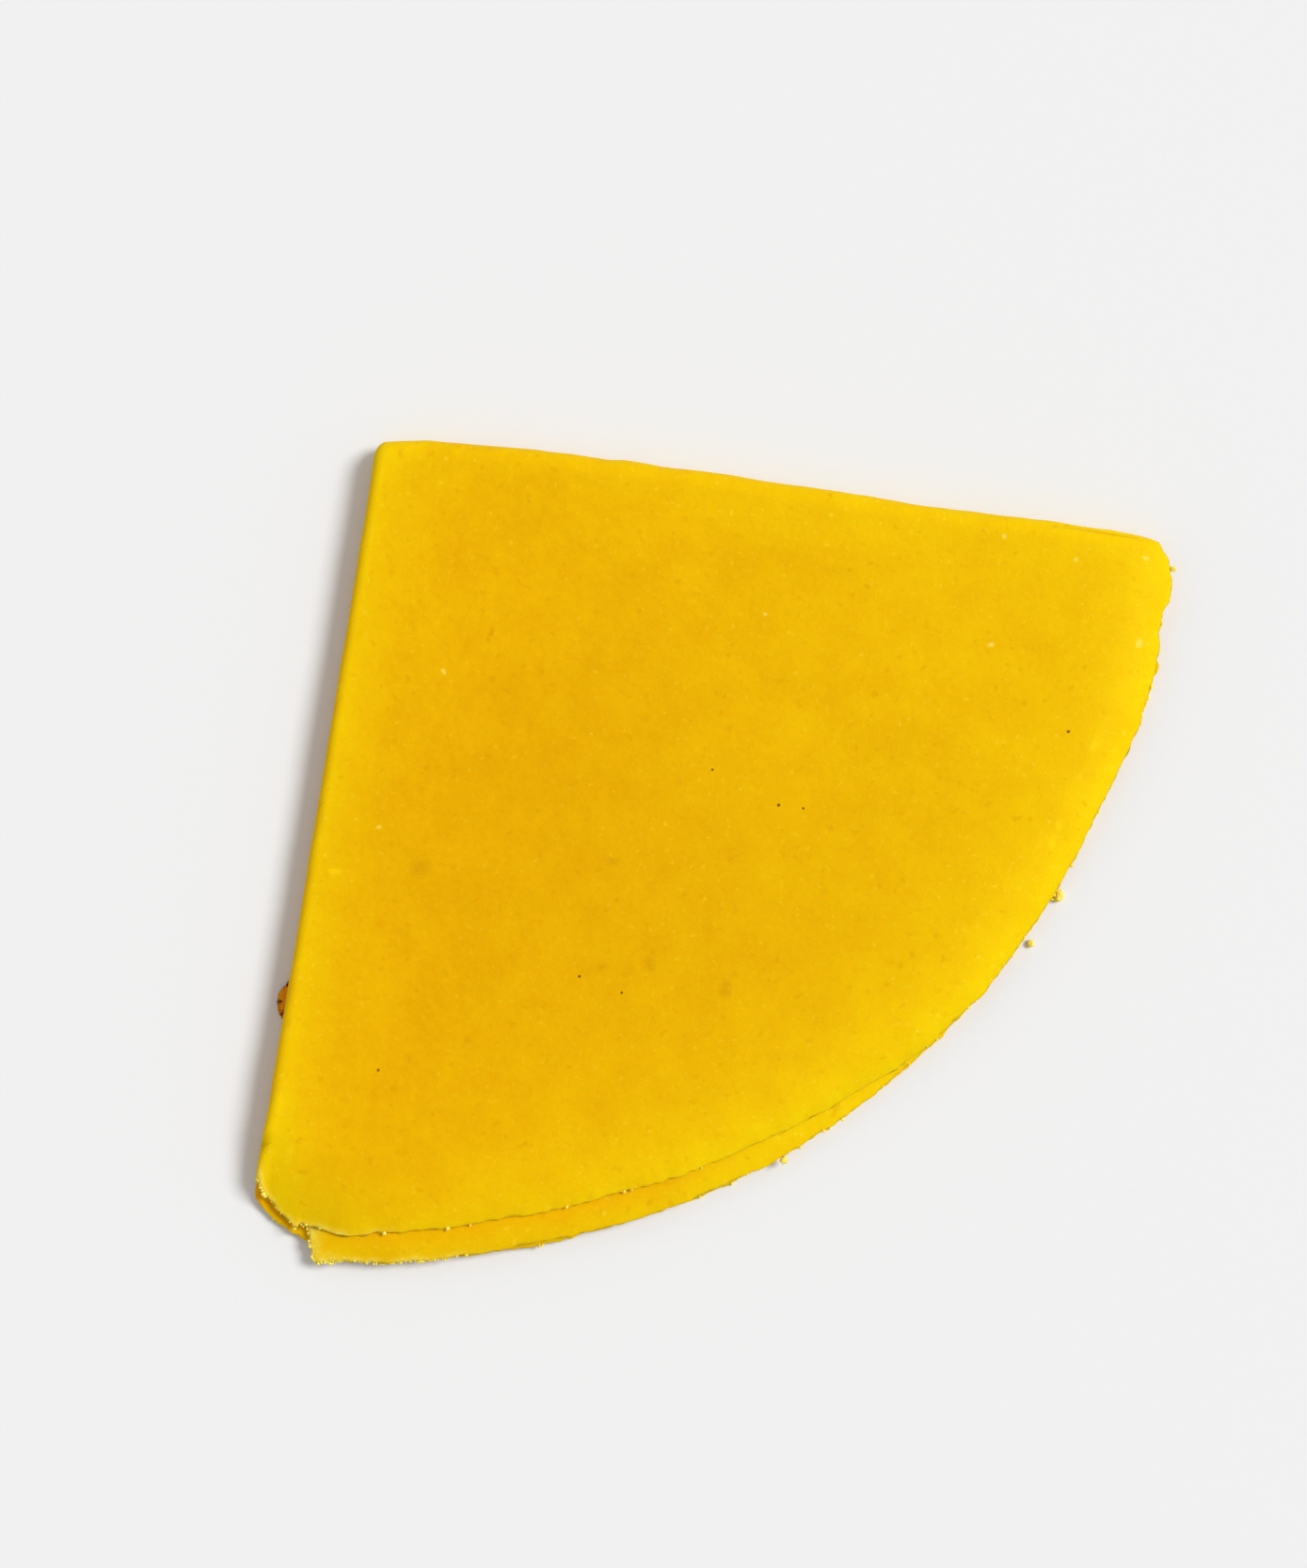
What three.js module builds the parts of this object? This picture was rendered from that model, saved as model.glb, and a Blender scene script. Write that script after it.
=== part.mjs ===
// A round, thin, soft flatbread folded in half and in half again, so that it lies as a quarter of a
// disc four layers thick, with two crumbs at its open edge. Millimetres, +Z up.
//
// The bread is one sheet. It is meshed flat, as a disc with a top and an underside, and each point is
// then carried round two folds. The first fold runs along the disc's Y diameter and gives the quarter
// its left edge. The second runs along the X diameter and gives it its back edge. A sheet on the
// outside of a fold has further to go round it, so the top layer's open edge stands back from the
// edges under it. Seen from above, the folded corner is at the back left and the open edges, which
// lie along a quarter circle, are at the front right.
import * as THREE from "three";
import { mergeVertices } from "three/addons/utils/BufferGeometryUtils.js";

// The sheet before it is folded.
const discRadius = 184.5;
const sheetThickness = 2;
const edgeFullness = 3.4; // how much further the edge reaches half way between the folds
const edgeWave = 0.9; // how far the hand-rolled edge wanders in and out

// How it is folded.
const layerGap = 0.3; // air left between one layer and the next
const firstFoldSetback = 1.8; // the first fold starts this far to the right of the disc's centre
const secondFoldSetback = 1.8; // the second fold starts this far in front of the disc's centre
const cornerAngle = 92; // between the two folded edges, in degrees: soft dough gives a little

// The disc's edge is worn back where a fold ends at it: [depth, half width in degrees].
const upperCornerWear = [11, 3]; // the first fold's end in the upper pair of layers
const lowerCornerWear = [13, 5]; // and in the lower pair
const backCornerWear = [4.2, 1.5]; // both ends of the second fold

// The crumbs, each as [width, height, direction from the corner in degrees off the back edge,
// clearance from the bread's outline, seen from above].
const crumbs = [
  [3, 2.4, 26.1, 0.3],
  [1.8, 1.5, 30, 2],
];
const crumbFoot = -0.75; // where a crumb's round underside is flattened, from its middle at 0 to -1

const finestStep = 0.75; // the mesh's spacing across the folds
const outerLines = 11; // mesh lines from each side of a fold to the disc's edge
const widening = 1.4; // how fast those lines spread apart

const pitch = sheetThickness + layerGap; // from one layer's middle to the next one's
const creaseRadius = pitch / 2; // of the sheet's middle round the first fold
const secondFoldAxis = pitch; // height of the second fold's axis over the middle of the lower pair
const lean = Math.tan(THREE.MathUtils.degToRad(cornerAngle - 90));

// The disc's radius in a direction given in degrees, counter-clockwise from +X.
function edgeRadius(direction) {
  const turn = THREE.MathUtils.degToRad(direction);
  const wave = Math.sin(3 * turn + 0.6) + 0.6 * Math.sin(7 * turn + 2) + 0.4 * Math.sin(12 * turn);
  const worn = (at, [depth, halfWidth]) => {
    const away = THREE.MathUtils.euclideanModulo(direction - at + 180, 360) - 180;
    return depth * Math.exp(-((away / halfWidth) ** 2));
  };
  return (
    discRadius +
    (edgeFullness / 2) * (1 - Math.cos(4 * turn)) +
    (edgeWave / 2) * wave -
    worn(90, upperCornerWear) -
    worn(-90, lowerCornerWear) -
    worn(0, backCornerWear) -
    worn(180, backCornerWear)
  );
}

// Where the flat sheet's point (u, v), at height w over its middle, lies once the sheet is folded.
// u runs across the first fold and v across the second; the underside, w < 0, ends up outside.
function folded(u, v, w) {
  const across = bentOver(firstFoldSetback - u, creaseRadius);
  const height = -(creaseRadius - w) * Math.cos(across.turn);
  const middleHeight = -creaseRadius * Math.cos(across.turn);
  const along = bentOver(v + secondFoldSetback, secondFoldAxis - middleHeight);
  const y = along.straight + (secondFoldAxis - height) * Math.sin(along.turn);
  const x = lean * y - across.straight - (creaseRadius - w) * Math.sin(across.turn);
  const z = secondFoldAxis - (secondFoldAxis - height) * Math.cos(along.turn);
  return [x, y, z + (pitch + sheetThickness) / 2];
}

// A sheet bent back over itself round a radius, at a distance past the start of the bend: how far
// it has turned there, and how far its straight part lies past the bend's axis.
function bentOver(distance, radius) {
  const turn = THREE.MathUtils.clamp(distance / radius, 0, Math.PI);
  return { turn, straight: Math.min(distance, 0) - Math.max(distance - Math.PI * radius, 0) };
}

// Mesh lines from -1 to 1, closely spaced from one fraction of the radius to another.
function lines(from, to) {
  const fine = Math.ceil(((to - from) * discRadius) / finestStep);
  const close = Array.from({ length: fine + 1 }, (_, i) => from + ((to - from) * i) / fine);
  const outer = Array.from({ length: outerLines }, (_, i) => ((i + 1) / outerLines) ** widening);
  const before = outer.map((share) => from - (from + 1) * share).reverse();
  const after = outer.map((share) => to + (1 - to) * share);
  return [...before, ...close, ...after];
}

// The flat disc's mesh points, as rows of [u, v]: a square grid drawn out to a disc, which keeps its
// lines nearly straight along both folds. They draw in to 0.7 of their spacing at the edge, so the
// close lines cover that much more than the fold.
function discPoints() {
  const spread = Math.SQRT2 / discRadius;
  const innerBend = Math.PI * creaseRadius;
  const outerBend = Math.PI * (secondFoldAxis + creaseRadius);
  const firstFold = lines(
    (firstFoldSetback - innerBend - finestStep) * spread,
    (firstFoldSetback + finestStep) * spread,
  );
  const secondFold = lines(
    -(secondFoldSetback + finestStep) * spread,
    (outerBend - secondFoldSetback + finestStep) * spread,
  );
  return secondFold.map((b) =>
    firstFold.map((a) => {
      const across = a * Math.sqrt(1 - (b * b) / 2);
      const along = b * Math.sqrt(1 - (a * a) / 2);
      const out = Math.hypot(across, along);
      const edge = edgeRadius(THREE.MathUtils.radToDeg(Math.atan2(along, across)));
      const size = discRadius + (edge - discRadius) * out ** 8;
      return [across * size, along * size];
    }),
  );
}

// The edge of a grid with that many rows and columns, as [row, column] pairs, counter-clockwise.
function gridEdge(rows, columns) {
  const edge = [];
  for (let j = 0; j < columns - 1; j++) edge.push([0, j]);
  for (let i = 0; i < rows - 1; i++) edge.push([i, columns - 1]);
  for (let j = columns - 1; j > 0; j--) edge.push([rows - 1, j]);
  for (let i = rows - 1; i > 0; i--) edge.push([i, 0]);
  return edge;
}

// The folded sheet: the disc's underside and top, and the narrow wall that joins them at its edge.
function foldedSheet(points) {
  const rows = points.length;
  const columns = points[0].length;
  const positions = [];
  for (const w of [-sheetThickness / 2, sheetThickness / 2]) {
    for (const row of points) {
      for (const [u, v] of row) positions.push(...folded(u, v, w));
    }
  }
  const under = (i, j) => i * columns + j;
  const top = (i, j) => rows * columns + under(i, j);
  const triangles = [];
  const quad = (a, b, c, d) => triangles.push(a, b, c, a, c, d);
  for (let i = 0; i < rows - 1; i++) {
    for (let j = 0; j < columns - 1; j++) {
      quad(under(i, j), under(i + 1, j), under(i + 1, j + 1), under(i, j + 1));
      quad(top(i, j), top(i, j + 1), top(i + 1, j + 1), top(i + 1, j));
    }
  }
  const edge = gridEdge(rows, columns);
  edge.forEach((from, k) => {
    const to = edge[(k + 1) % edge.length];
    quad(under(...from), under(...to), top(...to), top(...from));
  });
  const geometry = new THREE.BufferGeometry();
  geometry.setAttribute("position", new THREE.Float32BufferAttribute(positions, 3));
  geometry.setIndex(triangles);
  geometry.computeVertexNormals();
  return geometry;
}

// How far the folded sheet's outline reaches along a direction from the corner, anywhere within half
// a width of that line.
function edgeReach(points, direction, width) {
  const edge = gridEdge(points.length, points[0].length);
  const middle = edge.map(([i, j]) => folded(...points[i][j], 0));
  const [dx, dy] = direction;
  let reach = 0;
  for (const offset of [-width / 2, 0, width / 2]) {
    middle.forEach(([ax, ay], k) => {
      const [bx, by] = middle[(k + 1) % middle.length];
      const sideA = ay * dx - ax * dy - offset;
      const sideB = by * dx - bx * dy - offset;
      if (sideA * sideB > 0 || sideA === sideB) return;
      const share = sideA / (sideA - sideB);
      const along = (ax + (bx - ax) * share) * dx + (ay + (by - ay) * share) * dy;
      reach = Math.max(reach, along);
    });
  }
  return reach;
}

// A crumb: an uneven lump of that width and height with a flat foot, standing on z = 0.
function crumbShape(width, height) {
  const ball = new THREE.IcosahedronGeometry(1, 2);
  ball.deleteAttribute("normal");
  ball.deleteAttribute("uv");
  const lump = mergeVertices(ball, 1e-4);
  const position = lump.getAttribute("position");
  const point = new THREE.Vector3();
  for (let i = 0; i < position.count; i++) {
    point.fromBufferAttribute(position, i);
    const swell = Math.sin(3 * point.x + 2 * point.y) * Math.cos(4 * point.z + point.x);
    point.multiplyScalar(1 - 0.1 * swell);
    position.setXYZ(i, point.x, point.y, Math.max(point.z, crumbFoot));
  }
  lump.center();
  const size = lump.boundingBox.getSize(new THREE.Vector3());
  lump.scale(width / size.x, width / size.y, height / size.z);
  lump.translate(0, 0, height / 2);
  lump.computeVertexNormals();
  return lump;
}

const bread = new THREE.MeshStandardMaterial({ color: 0xf0bb08, roughness: 0.55, metalness: 0 });
const filling = new THREE.MeshStandardMaterial({ color: 0xf2cf2e, roughness: 0.7, metalness: 0 });

const points = discPoints();
const sheet = new THREE.Mesh(foldedSheet(points), bread);
sheet.name = "folded_flatbread";

// The part's origin is under the middle of the sheet's box, so its pieces are moved there together.
sheet.geometry.computeBoundingBox();
const { min, max } = sheet.geometry.boundingBox;
const placed = new THREE.Group();
placed.position.set(-(min.x + max.x) / 2, -(min.y + max.y) / 2, -min.z);
placed.add(sheet);

crumbs.forEach(([width, height, degrees, clearance], k) => {
  const turn = THREE.MathUtils.degToRad(-degrees);
  const direction = [Math.cos(turn), Math.sin(turn)];
  const distance = edgeReach(points, direction, width) + clearance + width / 2;
  const crumb = new THREE.Mesh(crumbShape(width, height), filling);
  crumb.name = `crumb_${k + 1}`;
  crumb.position.set(direction[0] * distance, direction[1] * distance, min.z);
  placed.add(crumb);
});

const part = new THREE.Group();
part.add(placed);

export default part;
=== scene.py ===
import math

import bmesh
import bpy
import numpy as np
from mathutils import Matrix, Vector, noise
from mathutils.geometry import delaunay_2d_cdt
from mathutils.kdtree import KDTree


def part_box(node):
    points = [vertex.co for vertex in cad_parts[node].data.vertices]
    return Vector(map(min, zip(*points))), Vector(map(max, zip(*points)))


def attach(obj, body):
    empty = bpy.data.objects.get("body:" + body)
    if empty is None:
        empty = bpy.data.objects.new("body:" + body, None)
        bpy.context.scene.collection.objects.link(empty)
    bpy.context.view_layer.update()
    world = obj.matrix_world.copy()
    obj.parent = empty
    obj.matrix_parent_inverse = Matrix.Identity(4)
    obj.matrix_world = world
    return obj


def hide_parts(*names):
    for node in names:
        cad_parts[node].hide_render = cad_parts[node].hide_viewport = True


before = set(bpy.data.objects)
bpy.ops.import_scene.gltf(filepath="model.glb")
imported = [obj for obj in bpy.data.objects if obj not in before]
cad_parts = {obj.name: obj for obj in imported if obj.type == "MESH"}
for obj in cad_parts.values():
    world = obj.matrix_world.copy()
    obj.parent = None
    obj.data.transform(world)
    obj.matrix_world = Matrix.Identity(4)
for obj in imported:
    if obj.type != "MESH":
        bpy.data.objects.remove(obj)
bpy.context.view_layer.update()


# The bread. One sheet of soft yellow dough, rolled out round and thin with a crumbly filling inside,
# cooked on a griddle and folded in half and in half again while warm. Nothing fastens it: it stays
# folded under its own weight.
bread_low, bread_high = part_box("folded_flatbread")
disc_radius = 0.1845
edge_fullness = 0.004  # how much further the edge reaches half way between the folds
layer_gap = 0.0003
layer_pitch = (bread_high.z - bread_low.z + layer_gap) / 4
sheet_thickness = layer_pitch - layer_gap
fold_setback = 0.0018  # both folds start this far from the disc's centre
corner_lean = math.tan(math.radians(2))  # the folded corner is this much wider than square

# How the sheet is meshed: close at its edge, over the folds and where it shows.
edge_step = 0.00055
shown_step = 0.0011
under_step = 0.0022
hidden_step = 0.005
fold_step = 0.0004
edge_rings = [0.0005, 0.0011, 0.0019, 0.0029, 0.0041]  # depths of the rings of points along the edge

# In the finish, the inner face's pattern lies this far from the outer one's, so the two differ.
face_apart = 0.1

crease_radius = layer_pitch / 2
inner_bend = math.pi * crease_radius
outer_bend = math.pi * 3 * crease_radius
roll_radius = 3 * crease_radius + sheet_thickness / 2  # outside of the second fold


def unevenness(x, y, size, seed):
    """Smooth random unevenness from -1 to 1 over a plane, with bumps about that size across."""
    count = 97  # the pattern comes again after that many bumps
    lattice = np.random.default_rng(seed).uniform(-1, 1, (count, count))
    across, along = np.asarray(x) / size + 0.37, np.asarray(y) / size + 0.61
    column, row = np.floor(across).astype(int), np.floor(along).astype(int)
    a, b = across - column, along - row
    a, b = a * a * (3 - 2 * a), b * b * (3 - 2 * b)

    def corner(i, j):
        return lattice[(column + i) % count, (row + j) % count]

    near = corner(0, 0) * (1 - a) + corner(1, 0) * a
    far = corner(0, 1) * (1 - a) + corner(1, 1) * a
    return near * (1 - b) + far * b


def smooth_step(start, end, value):
    """0 before start, 1 past end, and a smooth rise between them."""
    share = np.clip((value - start) / (end - start), 0, 1)
    return share * share * (3 - 2 * share)


def bent_over(distance, radius):
    """How far a sheet has turned round a bend, and how far its straight part lies past the axis."""
    turn = np.clip(distance / radius, 0, math.pi)
    straight = np.minimum(distance, 0) - np.maximum(distance - math.pi * radius, 0)
    return turn, straight


def folded(u, v, w):
    """Where the flat sheet's point lies once it is folded, from the two folds' axes. u runs across
    the first fold, v across the second, and w is the height over the sheet's middle."""
    turn, straight = bent_over(fold_setback - u, crease_radius)
    height = -(crease_radius - w) * np.cos(turn)
    x = -straight - (crease_radius - w) * np.sin(turn)
    roll, back = bent_over(v + fold_setback, layer_pitch + crease_radius * np.cos(turn))
    y = back + (layer_pitch - height) * np.sin(roll)
    z = layer_pitch - (layer_pitch - height) * np.cos(roll) + (layer_pitch + sheet_thickness) / 2
    return x + corner_lean * y, y, z


def from_corner(x, y):
    """How far right of the folded corner and in front of the back edge a folded point lies."""
    left = corner_lean * roll_radius - crease_radius - sheet_thickness / 2
    return x - left, roll_radius - y


def away_from(direction, other):
    """The angle from one direction to another in degrees, from -180 to 180."""
    return (direction - other + 180) % 360 - 180


# Where the bread's edge is broken back through all its layers, or stands out where the depth is
# negative: right of the folded corner, in front of it, half width, depth.
nicks = [
    (0.183, 0.0205, 0.0046, 0.0010),
    (0.182, 0.0300, 0.0015, -0.0009),
    (0.179, 0.0400, 0.0120, -0.0011),
    (0.060, 0.1760, 0.0300, 0.0006),
    (0.150, 0.108, 0.0030, 0.0006),
    (0.118, 0.143, 0.0022, 0.0007),
]


# The top layer's edge is flush with the others up to the first of these directions from the back
# edge, in degrees, and stands back by this much from the second on.
flush_until, back_from = 36, 54
standing_back = 0.0072

# The tear at the first fold's end: its depth in the top layer and in the next one, and how many
# degrees from the fold it ends.
top_tear_depth, top_tear_end = 0.0108, 3.3
next_tear_depth, next_tear_end = 0.018, 5.3

# How far the corners are worn back, and over how many degrees.
lower_corner_wear, lower_corner_width = 0.0145, 4
right_corner_wear, right_corner_width = 0.0049, 2.4
far_corner_wear, far_corner_width = 0.0042, 2.7


def edge_radius(direction):
    """The flat disc's radius in a direction in degrees, from the first fold's right-hand side."""
    turn = np.radians(direction)
    x, y = disc_radius * np.cos(turn), disc_radius * np.sin(turn)
    radius = disc_radius + 0.0006 * unevenness(x, y, 0.045, 11) + 0.0003 * unevenness(x, y, 0.012, 12)
    radius += edge_fullness / 2 * (1 - np.cos(4 * turn))

    # The top layer would stand back all along its edge, but its far end has spread and lies flush.
    spread = standing_back * np.sin(turn) * (1 - smooth_step(flush_until, back_from, direction))
    radius += np.where((direction > 0) & (direction < 90), spread, 0)

    # The upper pair of layers is torn at the first fold: a little off the top one, more off the next.
    torn = away_from(direction, 90)
    top_tear = top_tear_depth * np.clip(1 + torn / top_tear_end, 0, 1)
    top_tear += 0.0018 * np.exp(-(((torn + 3.8) / 1.4) ** 2))
    next_tear = next_tear_depth * (1 - smooth_step(3.2, next_tear_end, torn))
    next_tear += 0.0008 * np.exp(-(((torn - 8) / 3) ** 2))
    ragged = 0.5 + 0.5 * np.exp(-((torn / 6) ** 2))
    past_fold = smooth_step(-0.6, 0.6, torn)
    radius -= (1 - past_fold) * top_tear + past_fold * next_tear
    radius += ragged * (0.0006 * unevenness(x, y, 0.0035, 13) + 0.0004 * unevenness(x, y, 0.0014, 14))

    # The lower pair is only rounded off there, and both pairs are at the ends of the second fold.
    radius -= lower_corner_wear * np.exp(-np.abs(away_from(direction, -90)) / lower_corner_width)
    radius -= right_corner_wear * np.exp(-((away_from(direction, 1.1) / right_corner_width) ** 2))
    far = np.abs(away_from(direction, 180))
    radius -= far_corner_wear * np.clip(1 - far / far_corner_width, 0, 1)

    right, forward = from_corner(*folded(x, y, 0)[:2])
    for nick_right, nick_forward, half_width, depth in nicks:
        distance = np.hypot(right - nick_right, forward - nick_forward)
        radius -= depth * np.exp(-((distance / half_width) ** 4))
    return radius


def disc_edge():
    """Points round the flat disc's edge, evenly spaced along it."""
    fine_steps = 24000  # several to each step of the mesh, so that the spacing comes out even
    direction = np.linspace(-180, 180, fine_steps + 1)
    radius = edge_radius(direction)
    turn = np.radians(direction)
    edge = radius[:, None] * np.stack([np.cos(turn), np.sin(turn)], 1)
    run = np.concatenate([[0], np.cumsum(np.linalg.norm(np.diff(edge, axis=0), axis=1))])
    at = np.linspace(0, run[-1], round(run[-1] / edge_step), endpoint=False)
    return np.stack([np.interp(at, run, edge[:, i]) for i in (0, 1)], 1)


def spaced(start, end, first, last):
    """Numbers from start up to end whose steps go evenly from first to last."""
    count = max(round(2 * (end - start) / (first + last)), 1)
    steps = np.linspace(first, last, count)
    return start + np.concatenate([[0], np.cumsum(steps)]) * (end - start) / steps.sum()


def mesh_lines(fold_start, fold_end, before_step, after_step):
    """Mesh lines across the disc: even before and after a fold, and close over it."""
    blend = 0.008  # the length over which the lines draw together
    parts = [
        np.arange(fold_start - blend, -disc_radius, -before_step)[::-1],
        spaced(fold_start - blend, fold_start, before_step, fold_step)[1:],
        spaced(fold_start, fold_end, fold_step, fold_step)[1:],
        spaced(fold_end, fold_end + blend, fold_step, after_step)[1:],
        np.arange(fold_end + blend + after_step, disc_radius, after_step),
    ]
    return np.concatenate(parts)


def face_points(edge, steps):
    """Points inside the disc for one face of the sheet, with their distances from its edge. steps
    are the spacings left and right of the first fold, and behind and in front of the second."""
    left, right, front, back = steps
    across = mesh_lines(fold_setback - inner_bend, fold_setback, left, right)
    along = mesh_lines(-fold_setback, outer_bend - fold_setback, front, back)
    u, v = (grid.ravel() for grid in np.meshgrid(across, along))
    straying = np.random.default_rng(5).uniform(-0.2, 0.2, (2, len(u))) * shown_step
    margin = 0.003  # no point strays that close to a fold
    clear_u = (u > fold_setback + margin) | (u < fold_setback - inner_bend - margin)
    clear_v = (v > outer_bend + margin) | (v < -fold_setback - margin)
    u = u + straying[0] * (clear_u & clear_v)
    v = v + straying[1] * (clear_u & clear_v)
    lattice = np.stack([u, v], 1)
    lattice = lattice[np.hypot(u, v) < disc_radius - edge_rings[-1]]

    inward = np.roll(edge, 3, 0) - np.roll(edge, -3, 0)
    inward = np.stack([inward[:, 1], -inward[:, 0]], 1) / np.linalg.norm(inward, axis=1)[:, None]
    rings = []
    for number, depth in enumerate(edge_rings):
        every = slice(number % 2, None, 1 + number // 2)
        rings.append(edge[every] + depth * inward[every])

    tree = KDTree(len(edge))
    for i, (x, y) in enumerate(edge):
        tree.insert((x, y, 0), i)
    tree.balance()
    deep = 0.03  # further in than this, the depth makes no difference
    least_depths = [*(0.75 * depth for depth in edge_rings), 0.0049]
    kept, depths = [], []
    for points, least in zip([*rings, lattice], least_depths):
        for x, y in points:
            depth = tree.find((x, y, 0))[2] if math.hypot(x, y) > disc_radius - deep else deep
            if depth > least:
                kept.append((x, y))
                depths.append(depth)
    return np.array(kept), np.array(depths)


def triangles_between(edge, inside):
    """Triangles that join the points inside the disc to each other and to its edge."""
    points = [Vector(p) for p in np.concatenate([edge, inside])]
    ring = [(i, (i + 1) % len(edge)) for i in range(len(edge))]
    _, _, faces, origins, _, _ = delaunay_2d_cdt(points, ring, [], 1, 1e-9)
    return [[origins[i][0] for i in face] for face in faces]


def lifted(points, right, forward):
    """Folded points after the bread has settled: a gently uneven height, layers pressed together
    towards their open edge, a back edge that bows out and is creased at its far end."""
    edge_pressing, torn_sinking = 0.33, 0.42  # shares of the height
    crease_depth, bow_depth, foot_depth, left_depth = 0.0004, 0.0024, 0.0007, 0.001
    reach = 0.187  # of the open edge from the folded corner, about
    x, y, z = points
    share = z / (4 * layer_pitch)
    inside = np.maximum(right, 0)
    in_front = np.maximum(forward, 0)

    torn_corner = np.exp(-((right / 0.016) ** 2) - ((forward - 0.178) / 0.011) ** 2)
    from_edge = np.maximum(reach - np.hypot(right, forward), 0)
    height = z * (1 + 0.035 * unevenness(x, y, 0.042, 21) + 0.02 * unevenness(x, y, 0.017, 22))
    height *= (1 - edge_pressing * np.exp(-from_edge / 0.0035)) * (1 - torn_sinking * torn_corner)
    crease = np.exp(-(((forward - 0.0012) / 0.0005) ** 2)) * smooth_step(0.15, 0.16, right)
    height -= crease_depth * crease * smooth_step(0.6, 0.8, share)

    # The back edge bows out, most along its left part. The left edge is drawn in, but not at the torn
    # corner, and its foot peeps out near the back.
    bow = bow_depth * (1 - np.exp(-inside / 0.009)) * (1 - smooth_step(0.06, 0.15, right))
    out = bow * np.exp(-in_front / 0.05)
    foot = foot_depth * np.exp(-(((forward - 0.008) / 0.006) ** 2) - (inside / 0.02) ** 2)
    drawn_in = left_depth * (1 - smooth_step(0.15, 0.172, forward)) * np.exp(-inside / 0.03)

    # Neither fold is quite straight.
    along, across = x - y, 0.02 * share
    ripple = unevenness(along, across, 0.008, 23) + 0.5 * unevenness(along, across, 0.0035, 24)
    drawn_in += 0.0001 * ripple * np.exp(-inside / 0.02)
    out += 0.00022 * ripple * np.exp(-in_front / 0.02)
    return x - foot * (1 - share) + drawn_in, y + out, height


def sheet_mesh():
    """The folded bread as a closed mesh, with what its finish needs to know at each point: its place
    on the flat disc, how pale the dough is there, partly as a painted highlight, how much painted orange
    shade it gets and how much of the filling shows."""
    edge = disc_edge()
    outer, outer_depth = face_points(edge, (hidden_step, shown_step, under_step, shown_step))
    inner, inner_depth = face_points(edge, (hidden_step,) * 4)
    count, ring = len(edge), np.arange(len(edge))
    wall_rows = 4
    wall_count = wall_rows * count

    flat = np.concatenate([edge, outer, edge, inner] + [edge] * wall_rows)
    on_edge = np.zeros(count)
    depth = np.concatenate([on_edge, outer_depth, on_edge, inner_depth, np.zeros(wall_count)])
    outer_end, inner_end = count + len(outer), count + len(outer) + count + len(inner)
    side = np.ones(len(flat))
    side[:outer_end] = -1
    row_side = (np.arange(wall_rows) + 1) / (wall_rows + 1) * 2 - 1
    side[inner_end:] = np.repeat(row_side, count)
    on_wall = np.arange(len(flat)) >= inner_end

    u, v = flat.T
    direction = np.degrees(np.arctan2(v, u))
    torn = away_from(direction, 90)

    # Every layer thins towards its edge, from above, where it was pressed while it was rolled out.
    half = sheet_thickness / 2 * (1 + 0.03 * unevenness(u, v, 0.02, 31))
    # The top layer is thinnest there, and its far stretch clings to the layer under it.
    clinging = (u > 0) * (v > 0) * (1 - smooth_step(44, 64, direction))
    topmost = np.maximum(clinging, smooth_step(0.001, 0.012, u) * (v > 0))
    thinned = 0.54 + 0.16 * topmost + 0.22 * clinging
    thinned = thinned * np.exp(-depth / (0.0035 + 0.0015 * clinging))
    face_down = np.clip(u / 0.004, -1, 1) * np.clip((v - 0.0018) / 0.006, -1, 1)
    grain = unevenness(u, v, 0.0065, 32) + 0.7 * unevenness(u, v, 0.0032, 33)
    w = half * (side * (1 - thinned) + face_down * thinned) + 0.00003 * side * grain * ~on_wall
    # It sinks on to the layer under it, most of all at the tear.
    drooping = smooth_step(0, 0.004, u) * (v > 0) * np.exp(-((torn / 3) ** 2))
    w += (0.0002 * topmost + 0.0002 * clinging + 0.0015 * drooping) * np.exp(-depth / 0.004)

    # The broken edge: its wall stands out a little in the middle and is crumbly.
    outward = flat / np.linalg.norm(flat, axis=1)[:, None]
    run = np.radians(direction) * disc_radius
    crumbly = unevenness(run + side * 0.2, side * 0.002, 0.0011, 34)
    rough = 0.00018 + 0.0003 * np.exp(-((torn / 8) ** 2))
    push = np.where(on_wall, 0.0002 * (1 - side**2) + rough * crumbly, 0)
    u, v = (flat + push[:, None] * outward).T

    points = folded(u, v, w)
    x, y, z = lifted(points, *from_corner(*points[:2]))
    co = np.stack([x, y, np.maximum(z, 0)], 1)
    centre = (co[:, :2].min(0) + co[:, :2].max(0)) / 2
    co[:, :2] += np.array([bread_low.x + bread_high.x, bread_low.y + bread_high.y]) / 2 - centre
    co[:, 2] += bread_low.z

    outer_faces = [face[::-1] for face in triangles_between(edge, outer)]
    inner_faces = [[i + outer_end for i in face] for face in triangles_between(edge, inner)]
    rows = [ring, *(ring + inner_end + i * count for i in range(wall_rows)), ring + outer_end]
    walls = []
    for lower, upper in zip(rows, rows[1:]):
        walls += np.stack([lower, np.roll(lower, -1), np.roll(upper, -1), upper], 1).tolist()

    mesh = bpy.data.meshes.new("folded_bread")
    mesh.from_pydata(co.tolist(), [], outer_faces + inner_faces + walls)
    mesh.update()
    mesh.shade_smooth()
    u, v = flat.T

    # The filling shows at the torn corner, in a broad band where the second layer's flap ends.
    ragged_end = smooth_step(-12, -5, torn) * (1 - smooth_step(12, 18, torn))
    flap = np.exp(-(((torn - 4.6) / 1.3) ** 2))
    rim = np.exp(-((depth / (0.0007 + 0.0019 * flap)) ** 2)) * (0.7 + 0.6 * unevenness(u, v, 0.0022, 35))
    # Painted highlight and shade: the filling is paler on the faces that look up, and those that look
    # down keep the dough's deeper yellow.
    lit = np.clip(-side * np.sign(u * v), 0, 1)
    raw = ragged_end * np.where(on_wall, 0.2 + 0.6 * lit, rim * (0.3 + 0.6 * lit)) + 0.15 * on_wall
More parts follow.
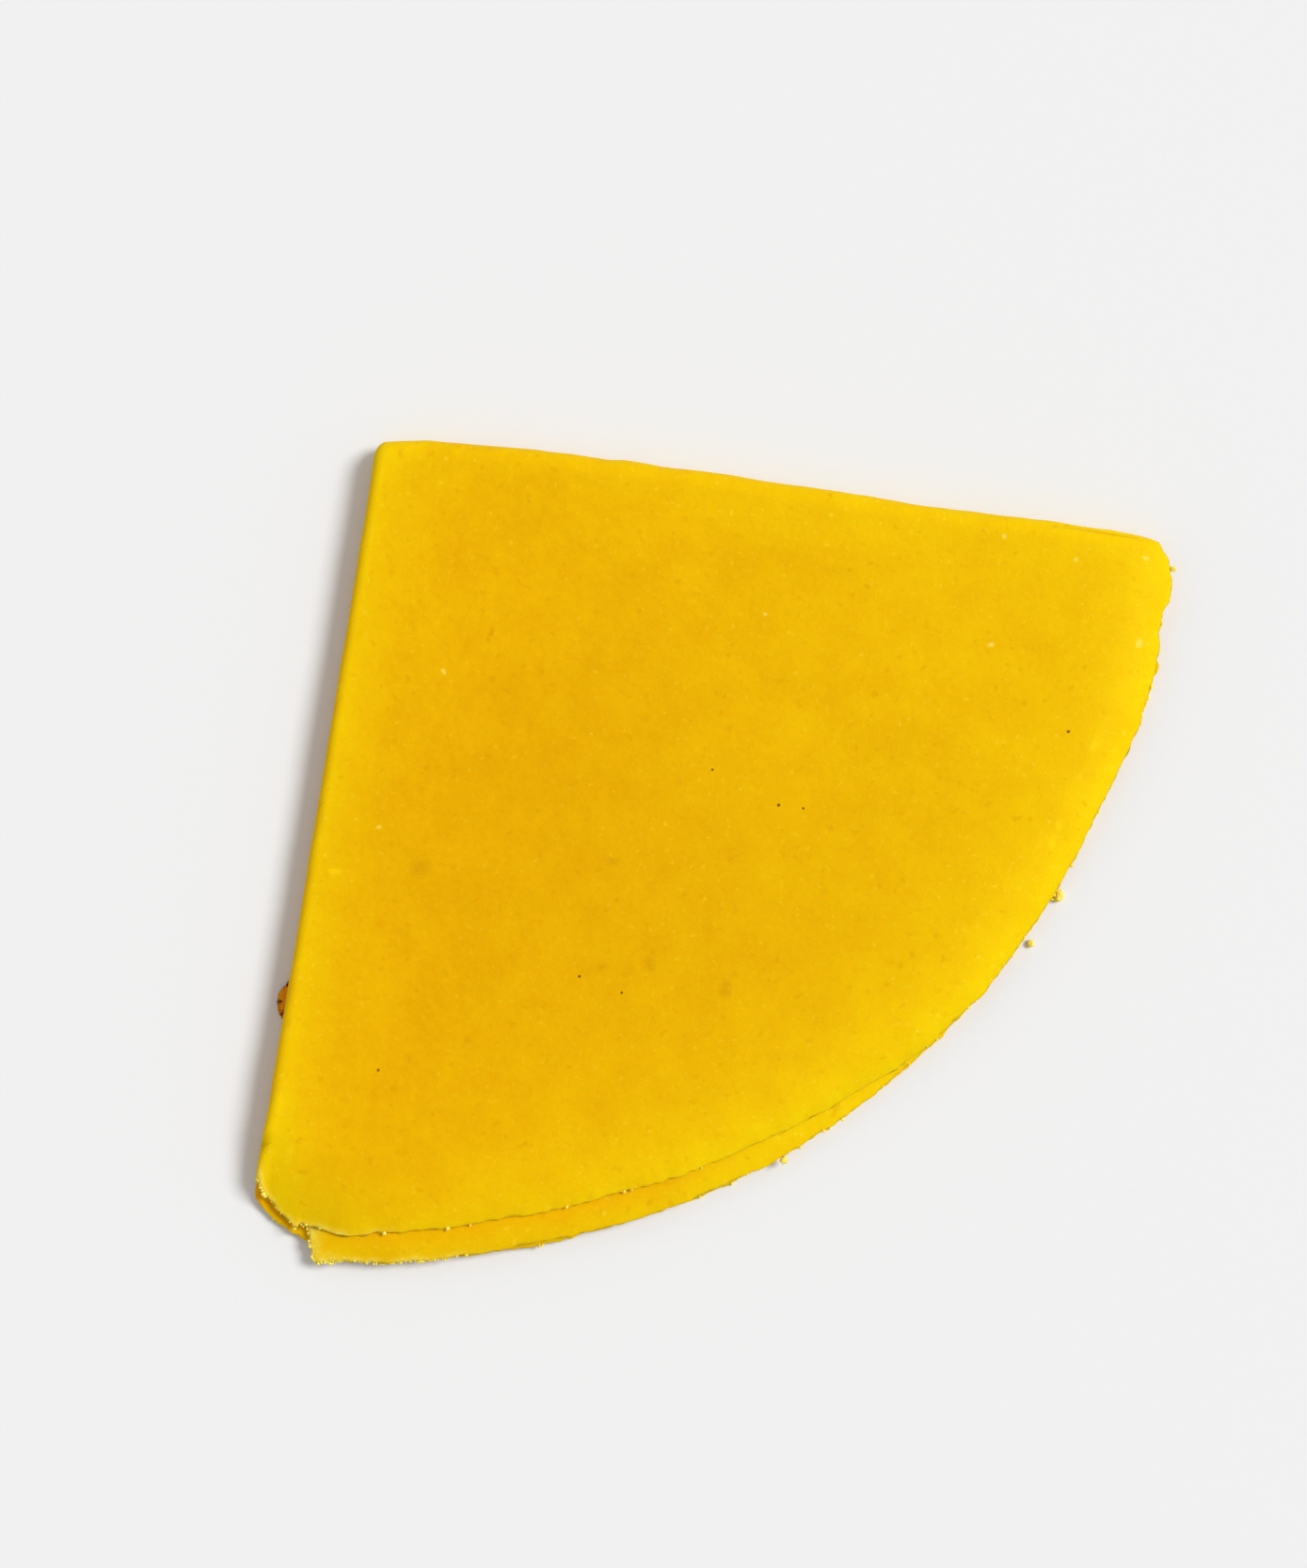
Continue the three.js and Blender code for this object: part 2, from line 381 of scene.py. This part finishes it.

    # The dough is paler towards its edge, where it is thinner, with a painted highlight there too.
    # Painted highlights lie along the left fold and the back edge's roll, the right-hand part is painted
    # lighter where the light falls, and the second layer is paler where it shows at the right.
    pale = 0.75 * np.exp(-depth / 0.013) + 0.4 * smooth_step(0, 0.15, u)
    pale += 0.9 * np.exp(-np.abs(u) / 0.009) + 0.5 * np.exp(-np.abs(v - 0.0036) / 0.01)
    second = (u < 0) & (v > 0)
    pale += second * smooth_step(118, 134, direction)

    # Painted orange shade: on the second layer under the top layer's edge, in the recess on the third
    # layer at the torn corner, and on the left fold's side that faces away from the light.
    third = (u < 0) & (v < 0)
    painted_shade = 0.5 * second * smooth_step(0.002, 0.007, depth) * (1 - smooth_step(114, 132, direction))
    at_tear = np.exp(-(((direction + 90) / 7) ** 2))
    painted_shade = painted_shade + 0.8 * third * smooth_step(-0.0012, 0.0012, depth) * at_tear
    painted_shade = np.maximum(painted_shade, np.exp(-(((u + 0.0014) / 0.0018) ** 2)))
    pale *= 1 - painted_shade
    place = np.stack([u, v, (side + 1) * face_apart / 2], 1)
    for name, kind, values in (
        ("place", "FLOAT_VECTOR", place),
        ("pale", "FLOAT", np.clip(pale, 0, 1)),
        ("painted_shade", "FLOAT", painted_shade),
        ("raw", "FLOAT", np.clip(raw, 0, 1)),
    ):
        attribute = mesh.attributes.new(name, kind, "POINT")
        field = "vector" if kind == "FLOAT_VECTOR" else "value"
        attribute.data.foreach_set(field, values.astype(np.float32).ravel())
    return mesh


def piece(name, mesh, node):
    """A finished piece that lies on the root body, in place of a plain solid."""
    made = bpy.data.objects.new(name, mesh)
    bpy.context.scene.collection.objects.link(made)
    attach(made, "root")
    if node:
        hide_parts(node)
    return made


bread = piece("bread", sheet_mesh(), "folded_flatbread")


class Link:
    """A socket that a value comes out of in a material. A sum written with it adds Math nodes."""

    def __init__(self, socket):
        self.socket = socket

    def node(self, kind, settings, inputs, output=0):
        """A node of that kind in the same material. Its settings are made first, and then its
        sockets, by name or number, get their values or links. A ramp's stops are one of them."""
        tree = self.socket.id_data
        made = tree.nodes.new(kind)
        for name, value in settings.items():
            if name == "stops":
                for stop, (at, colour) in zip(made.color_ramp.elements, value):
                    stop.position, stop.color = at, colour
            else:
                setattr(made, name, value)
        for name, value in inputs.items():
            if isinstance(value, Link):
                tree.links.new(value.socket, made.inputs[name])
            else:
                made.inputs[name].default_value = value
        return Link(made.outputs[output])

    def maths(self, operation, first, second):
        return self.node("ShaderNodeMath", {"operation": operation}, {0: first, 1: second})

    def __add__(self, other):
        return self.maths("ADD", self, other)

    def __sub__(self, other):
        return self.maths("SUBTRACT", self, other)

    def __rsub__(self, other):
        return self.maths("SUBTRACT", other, self)

    def __mul__(self, other):
        return self.maths("MULTIPLY", self, other)

    __radd__ = __add__
    __rmul__ = __mul__

    def larger(self, other):
        return self.maths("MAXIMUM", self, other)

    def vector_maths(self, operation, inputs, output=0):
        return self.node("ShaderNodeVectorMath", {"operation": operation}, inputs, output)

    def into(self, shader, name):
        """Joins this value to one of the shader's sockets."""
        self.socket.id_data.links.new(self.socket, shader.inputs[name])

    def rise(self, start, end):
        """0 where this value is at start, 1 at end, and a smooth rise between them."""
        limits = {"Value": self, "From Min": start, "From Max": end}
        return self.node("ShaderNodeMapRange", {"interpolation_type": "SMOOTHSTEP"}, limits)

    def tint(self, colour, share):
        """This colour, mixed with another one by share."""
        blend = {"data_type": "RGBA"}
        return self.node("ShaderNodeMix", blend, {0: share, 6: self, 7: colour}, 2)

    def grain(self, size, detail=2.0, roughness=0.5):
        """Noise from 0 to 1 at this place, with grains about that size in metres."""
        values = {"Vector": self, "Scale": 1 / size, "Detail": detail, "Roughness": roughness}
        return self.node("ShaderNodeTexNoise", {}, values)

    def near(self, spots, blur):
        """1 in each oval spot, given as (x, y, half width, half length), and 0 outside it, smoothed
        over blur of its size."""
        found = None
        for x, y, half_width, half_length in spots:
            away = self.vector_maths("SUBTRACT", {0: self, 1: (x, y, 0)})
            away = self.vector_maths("MULTIPLY", {0: away, 1: (1 / half_width, 1 / half_length, 0)})
            away = self.vector_maths("LENGTH", {0: away}, "Value")
            here = away.rise(1, 1 - blur)
            found = here if found is None else found.larger(here)
        return found


def new_material(name):
    """A material with its main shader and a link to start from."""
    material = bpy.data.materials.new(name)
    material.use_nodes = True
    shader = material.node_tree.nodes["Principled BSDF"]
    return material, shader, Link(shader.outputs[0])


def attribute(start, name, output):
    return start.node("ShaderNodeAttribute", {"attribute_name": name}, {}, output)


def paint(red, green, blue):
    """A colour as a screen shows it, from 0 to 255, as the linear colour that a shader takes."""

    def linear(part):
        part = part / 255
        return part / 12.92 if part <= 0.04045 else ((part + 0.055) / 1.055) ** 2.4

    return (linear(red), linear(green), linear(blue), 1)


# The folded corner's rounded tip, in mm right of the left edge and in front of the back edge.
corner_tip = (1.0, 1.2)


def on_top(places):
    """Spots on the top layer, given in mm as right of the folded corner's tip, in front of it, half
    width and half length, as places on the flat disc."""
    spots = []
    for right, forward, half_width, half_length in places:
        right, forward = right + corner_tip[0], forward + corner_tip[1]
        u = right / 1000 + fold_setback - crease_radius - sheet_thickness / 2
        u += corner_lean * forward / 1000
        v = forward / 1000 + outer_bend - fold_setback - roll_radius
        spots.append((u, v, half_width / 1000, half_length / 1000))
    return spots


# The marks on the top layer: the griddle's brown smudges, two scratches, pale flecks of flour,
# scrapes that bare the lighter dough, dark specks, a broad darker orange patch over the middle, and
# painted shade along the crease at the back edge's far end.
smudges = [
    (21.7, 95, 3.4, 3), (64.5, 88.4, 3, 2), (75.7, 110.3, 2.4, 2), (65.1, 112, 2, 1.5), (93.4, 114, 2, 3),
]
scratches = [(30.9, 40.5, 0.8, 1.6), (30.4, 42.6, 0.7, 1.1)]
flecks = [
    (21.2, 50.9, 0.6, 0.8), (10.9, 86.5, 0.6, 0.5), (144.4, 4, 0.8, 1.1), (144.2, 29.3, 1, 0.8),
    (92.4, 29.1, 0.8, 0.6), (161, 7.4, 1, 0.8), (177.6, 24.6, 1, 1.5), (176.9, 5.1, 1, 0.8),
]
scrapes = [
    (2, 97.9, 2.2, 1.1), (0.2, 161.8, 1.1, 2.9), (162.9, 72.3, 1.2, 2.4), (164, 68, 1, 1.8),
    (169.9, 48.8, 1.4, 2.2),
]
specks = [
    (100.5, 71.3, 0.5, 0.5), (106.1, 71.3, 0.4, 0.4), (84.7, 65.3, 0.4, 0.4), (60.4, 114.9, 0.5, 0.4),
    (70.3, 117.4, 0.4, 0.4), (17.7, 141, 0.4, 0.5), (163.6, 46.7, 0.5, 0.5), (-1.5, 27.8, 0.4, 0.4),
]
darker_middle = [(78, 92, 92, 78)]
back_crease_shade = [(167, 0.7, 13, 0.5)]

# The dough's colours: cooked, from its darker mottles to its lighter ones, and then what is laid
# over it.
cooked_dark, cooked_light = paint(222, 159, 1), paint(234, 177, 2)
# Among them are the orange of the painted shade in the recesses, and the lemon of the thinner edge and of
# the painted highlights.
middle_orange, shade_orange, lemon_and_highlight = paint(204, 134, 1), paint(248, 168, 2), paint(240, 201, 5)
smudged, scratched, scraped = paint(196, 138, 6), paint(204, 130, 6), paint(244, 206, 12)
freckled, pored, crease_shade = paint(247, 210, 44), paint(200, 134, 2), paint(206, 140, 2)
floury, scorched = paint(250, 222, 96), paint(88, 46, 6)
filling_dark, filling_light = paint(242, 194, 16), paint(255, 232, 104)


def dough_finish():
    """Cooked yellow dough: finely mottled, lemon yellow where it thins towards its edge, with painted
    highlights there, on the folds and to the right, painted orange shade in the recesses, faintly marked
    by the griddle, and pale and crumbly where the filling shows."""
    material, shader, start = new_material("dough")
    place = attribute(start, "place", "Vector")
    pale = attribute(start, "pale", "Fac")
    raw = attribute(start, "raw", "Fac")
    painted_shade = attribute(start, "painted_shade", "Fac")

    mottle = place.grain(0.0022, 3, 0.6)
    cloud = place.grain(0.009, 2)
    drift = place.grain(0.045, 2)
    lightness = 0.5 + 0.8 * (mottle - 0.5) + 0.7 * (cloud - 0.5) + 0.9 * (drift - 0.5)
    colour = start.node(
        "ShaderNodeValToRGB",
        {"stops": [(0.15, cooked_dark), (0.85, cooked_light)]},
        {"Fac": lightness},
    )
    # A broad darker orange patch over the middle.
    colour = colour.tint(middle_orange, place.near(on_top(darker_middle), 1) * 0.3)
    # Painted orange shade in the recesses and on the left fold's shaded side.
    colour = colour.tint(shade_orange, painted_shade * 0.9)
    # Paler towards the edge, partly thinner dough and partly painted highlight, with painted highlights
    # on the folds and lighter paint to the right, where the light falls.
    colour = colour.tint(lemon_and_highlight, pale * (0.85 + 0.6 * (cloud - 0.5)))

    # Marks with ragged outlines: the place is thrown about by up to a stray before it is tested.
    stray = 0.0011
    wander = place.node("ShaderNodeTexNoise", {}, {"Vector": place, "Scale": 500.0}, "Color")
    thrown = {0: wander, 1: (2 * stray, 2 * stray, 0), 2: (-stray, -stray, 0)}
    strayed = place.vector_maths("ADD", {0: place, 1: place.vector_maths("MULTIPLY_ADD", thrown)})
    colour = colour.tint(smudged, strayed.near(on_top(smudges), 0.9) * 0.36)
    colour = colour.tint(scratched, strayed.near(on_top(scratches), 0.8) * 0.4)
    colour = colour.tint(scraped, strayed.near(on_top(scrapes), 0.6) * 0.6)
    patchy = place.grain(0.016, 1).rise(0.4, 0.62)
    freckle = place.grain(0.0014, 1).rise(0.64, 0.76)
    colour = colour.tint(freckled, freckle * (0.06 + 0.42 * pale + 0.16 * patchy))
    pore = place.grain(0.0024, 1).rise(0.38, 0.26)
    colour = colour.tint(pored, pore * (0.24 - 0.14 * patchy))
    # Painted shade along the crease at the back edge's far end.
    colour = colour.tint(crease_shade, place.near(on_top(back_crease_shade), 0.7) * 0.4)
    colour = colour.tint(floury, strayed.near(on_top(flecks), 0.9) * 0.65)
    colour = colour.tint(scorched, place.near(on_top(specks), 0.6) * 0.9)

    crumb = place.grain(0.0009, 3, 0.7)
    filling = start.node(
        "ShaderNodeValToRGB",
        {"stops": [(0.3, filling_dark), (0.7, filling_light)]},
        {"Fac": crumb},
    )
    colour = colour.tint(filling, raw)

    shader.inputs["Specular IOR Level"].default_value = 0.02
    shader.inputs["Subsurface Weight"].default_value = 0.2
    shader.inputs["Subsurface Radius"].default_value = (1.0, 0.5, 0.05)
    shader.inputs["Subsurface Scale"].default_value = 0.0025
    relief = place.grain(0.0016, 4, 0.65) + 0.6 * mottle + raw * crumb * 3
    bumps = {"Height": relief, "Distance": 0.00016, "Strength": 0.7}
    colour.into(shader, "Base Color")
    (0.44 + 0.2 * mottle + 0.15 * raw).into(shader, "Roughness")
    start.node("ShaderNodeBump", {}, bumps, "Normal").into(shader, "Normal")
    return material


bread.data.materials.append(dough_finish())


# The crumbs. Bits of the dry, crumbly filling that broke out of the bread's edge: two lie loose beside
# it, many small ones still hang on it, most of them round the torn corner, and a browned flake lies
# under the folded left edge.
def lump(size, detail, seed, foot=-1):
    """An uneven lump of that size about its middle, as points and triangles. foot, from -1 to 0, is
    how far down its round underside is flattened."""
    ball = bmesh.new()
    bmesh.ops.create_icosphere(ball, subdivisions=detail, radius=1)
    points = []
    for vertex in ball.verts:
        at = vertex.co.copy()
        swell = 1
        for depth, fineness in ((0.45, 1.3), (0.24, 3.3), (0.1, 8)):
            swell += depth * noise.noise(at * fineness + Vector((seed, -seed, fineness)))
        points.append(at * swell)
    faces = np.array([[vertex.index for vertex in face.verts] for face in ball.faces])
    ball.free()
    points = np.array(points)
    points[:, 2] = np.maximum(points[:, 2], foot)
    low, high = points.min(0), points.max(0)
    return (points - (low + high) / 2) * np.array(size) / (high - low), faces


def crumb_mesh(name, lumps):
    """One mesh of lumps, given as (points, faces, how browned)."""
    points, faces, browned = [], [], []
    for lump_points, lump_faces, brown in lumps:
        faces.append(lump_faces + sum(len(other) for other in points))
        points.append(lump_points)
        browned += [brown] * len(lump_points)
    mesh = bpy.data.meshes.new(name)
    mesh.from_pydata(np.concatenate(points).tolist(), [], np.concatenate(faces).tolist())
    mesh.update()
    mesh.shade_smooth()
    mesh.attributes.new("browned", "FLOAT", "POINT").data.foreach_set("value", browned)
    return mesh


# The crumbs' colours: the dry filling, and the flake's orange, which is partly painted shade, and its
# browned crust.
dry_dark, dry_light = paint(244, 206, 18), paint(255, 240, 130)
# The flake's orange is partly painted shade, and its dark red-brown is browned crust.
crust_and_shade_orange, crust_brown = paint(232, 150, 8), paint(112, 28, 6)


def crumb_finish():
    """Dry filling, pale yellow and grainy, and on the flake orange, partly painted shade, to dark
    red-brown where it is browned.
    """
    material, shader, start = new_material("crumb")
    place = start.node("ShaderNodeTexCoord", {}, {}, "Object")
    browned = attribute(start, "browned", "Fac")
    grain = place.grain(0.0006, 3, 0.7)
    filling = start.node(
        "ShaderNodeValToRGB",
        {"stops": [(0.3, dry_dark), (0.7, dry_light)]},
        {"Fac": grain},
    )
    crust = start.node(
        "ShaderNodeValToRGB",
        {"stops": [(0.46, crust_and_shade_orange), (0.6, crust_brown)]},
        {"Fac": place.grain(0.0022, 2)},
    )
    shader.inputs["Specular IOR Level"].default_value = 0.1
    shader.inputs["Subsurface Weight"].default_value = 0.45
    shader.inputs["Subsurface Radius"].default_value = (1.0, 0.6, 0.1)
    shader.inputs["Subsurface Scale"].default_value = 0.001
    bumps = {"Height": grain, "Distance": 0.0002, "Strength": 0.8}
    filling.tint(crust, browned).into(shader, "Base Color")
    (0.6 + 0.25 * grain).into(shader, "Roughness")
    start.node("ShaderNodeBump", {}, bumps, "Normal").into(shader, "Normal")
    return material


crumb_material = crumb_finish()
flat_foot = -0.75
for number in (1, 2):
    node = f"crumb_{number}"
    crumb_low, crumb_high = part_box(node)
    points, faces = lump(crumb_high - crumb_low, 4, 4.0 + number, flat_foot)
    points += np.array(crumb_low + crumb_high) / 2
    loose = piece(f"loose_{node}", crumb_mesh("loose_crumb", [(points, faces, 0)]), node)
    loose.data.materials.append(crumb_material)


def broken_edge():
    """The points of the bread's broken edge, their outward directions and their places on the disc."""
    vertices = bread.data.vertices
    places = bread.data.attributes["place"].data
    rows = []
    for source, field in ((vertices, "co"), (vertices, "normal"), (places, "vector")):
        values = np.empty(len(vertices) * 3, np.float32)
        source.foreach_get(field, values)
        rows.append(values.reshape(-1, 3).astype(float))
    across = rows[2][:, 2] / face_apart
    between_faces = (across > 0.01) & (across < 0.99)
    return [values[between_faces] for values in rows]


crumb_count = 190
finest_crumb, crumb_range = 0.0004, 0.0006
large_crumbs = [(52.3, 0.0017), (2.4, 0.0014)]  # degrees off the back edge, width
large_from = 0.0012  # crumbs from this width on are meshed more finely and stand out further


def hanging_crumbs():
    """Small crumbs on the upper half of the broken edge, thick round the torn corner and sparse along
    the rest, and the two larger ones where the edge reaches furthest."""
    at, outward, place = broken_edge()
    torn = away_from(np.degrees(np.arctan2(place[:, 1], place[:, 0])), 90)
    on_flap = smooth_step(3, 5, torn) * (1 - smooth_step(12, 16, torn))
    likely = 0.06 + 2 * np.exp(-((torn / 4) ** 2)) + 2 * on_flap
    likely *= (2 * place[:, 2] / face_apart - 1) * place[:, 0] * place[:, 1] < 0
    random = np.random.default_rng(41)
    chosen = random.choice(len(at), crumb_count, replace=False, p=likely / likely.sum())
    widths = finest_crumb + crumb_range * random.random(len(chosen)) ** 2
    corner = np.array([bread_low.x, bread_high.y])
    off_back = np.degrees(np.arctan2(corner[1] - at[:, 1], at[:, 0] - corner[0]))
    reach = np.hypot(*(at[:, :2] - corner).T)
    for degrees, width in large_crumbs:
        chosen = np.append(chosen, np.argmax(np.where(np.abs(off_back - degrees) < 0.3, reach, 0)))
        widths = np.append(widths, width)
    lumps = []
    for number, (i, width) in enumerate(zip(chosen, widths)):
        size = width * random.uniform(0.75, 1.25, 3)
        detail, standing_out = (2, 0.25) if width < large_from else (3, 0.5)
        points, faces = lump(size, detail, number * 0.7)
        points += at[i] + outward[i] * width * standing_out
        points[:, 2] += max(0.0001 - points[:, 2].min(), 0)  # none reaches into the floor
        lumps.append((points, faces, 0))
    return lumps


def browned_flake():
    """The flake of browned crust, its orange partly painted shade, that peeps out from under the folded
    left edge.
    """
    forward = 0.1298  # of its middle, from the back edge
    size = (0.0046, 0.009, 0.0019)
    points, faces = lump(size, 4, 2.5, -0.6)
    left = bread_low.x + corner_lean * (bread_high.y - bread_low.y - forward)
    return points + (left + 0.0004, bread_high.y - forward, size[2] / 2), faces, 1


all_lumps = [*hanging_crumbs(), browned_flake()]
edge_crumbs = piece("edge_crumbs", crumb_mesh("edge_crumbs", all_lumps), None)
edge_crumbs.data.materials.append(crumb_material)


# The floor, the light and the camera. A plain matt floor, pale and wide enough to fill every view, lit
# evenly from all round and by one soft, large light high up at the back right. The camera looks down
# from just in front of straight above, turned a little.
floor_reach = 8
floor_grey = (0.8, 0.8, 0.8, 1)
floor_mesh = bpy.data.meshes.new("floor")
floor_corners = [(x * floor_reach, y * floor_reach, 0) for x, y in ((-1, -1), (1, -1), (1, 1), (-1, 1))]
floor_mesh.from_pydata(floor_corners, [], [(0, 1, 2, 3)])
floor = bpy.data.objects.new("floor", floor_mesh)
bpy.context.scene.collection.objects.link(floor)
floor_finish, floor_shader, _ = new_material("floor")
floor_shader.inputs["Base Color"].default_value = floor_grey
floor_shader.inputs["Roughness"].default_value = 0.8
floor_mesh.materials.append(floor_finish)

scene = bpy.context.scene
scene.view_settings.view_transform = "Standard"
world = bpy.data.worlds.new("studio")
scene.world = world
world.use_nodes = True
surroundings = world.node_tree.nodes["Background"].inputs
surroundings["Color"].default_value = (1, 1, 1, 1)
surroundings["Strength"].default_value = 0.5

key = bpy.data.lights.new("key", "SUN")
key.angle = math.radians(24)
key.energy = 2.5
key_object = bpy.data.objects.new("key", key)
scene.collection.objects.link(key_object)
towards_light = Vector((0.78, 0.32, 0.95)).normalized()
key_object.rotation_euler = towards_light.to_track_quat("Z", "Y").to_euler()

camera_data = bpy.data.cameras.new("camera")
camera_data.lens = 85
camera_data.clip_end = 20
camera = bpy.data.objects.new("camera", camera_data)
scene.collection.objects.link(camera)
scene.camera = camera
turn, tilt = math.radians(6.8), math.radians(5)
shown_height = 0.356
distance = shown_height * camera_data.lens / camera_data.sensor_width
aim = Vector((-0.0164, 0.0217, (bread_low.z + bread_high.z) / 2))
up = Vector((-math.sin(turn), math.cos(turn), 0))
back = (Vector((0, 0, 1)) * math.cos(tilt) - up * math.sin(tilt)).normalized()
right = up.cross(back)
axes = Matrix((right.normalized(), back.cross(right).normalized(), back)).transposed()
camera.matrix_world = Matrix.Translation(aim + back * distance) @ axes.to_4x4()
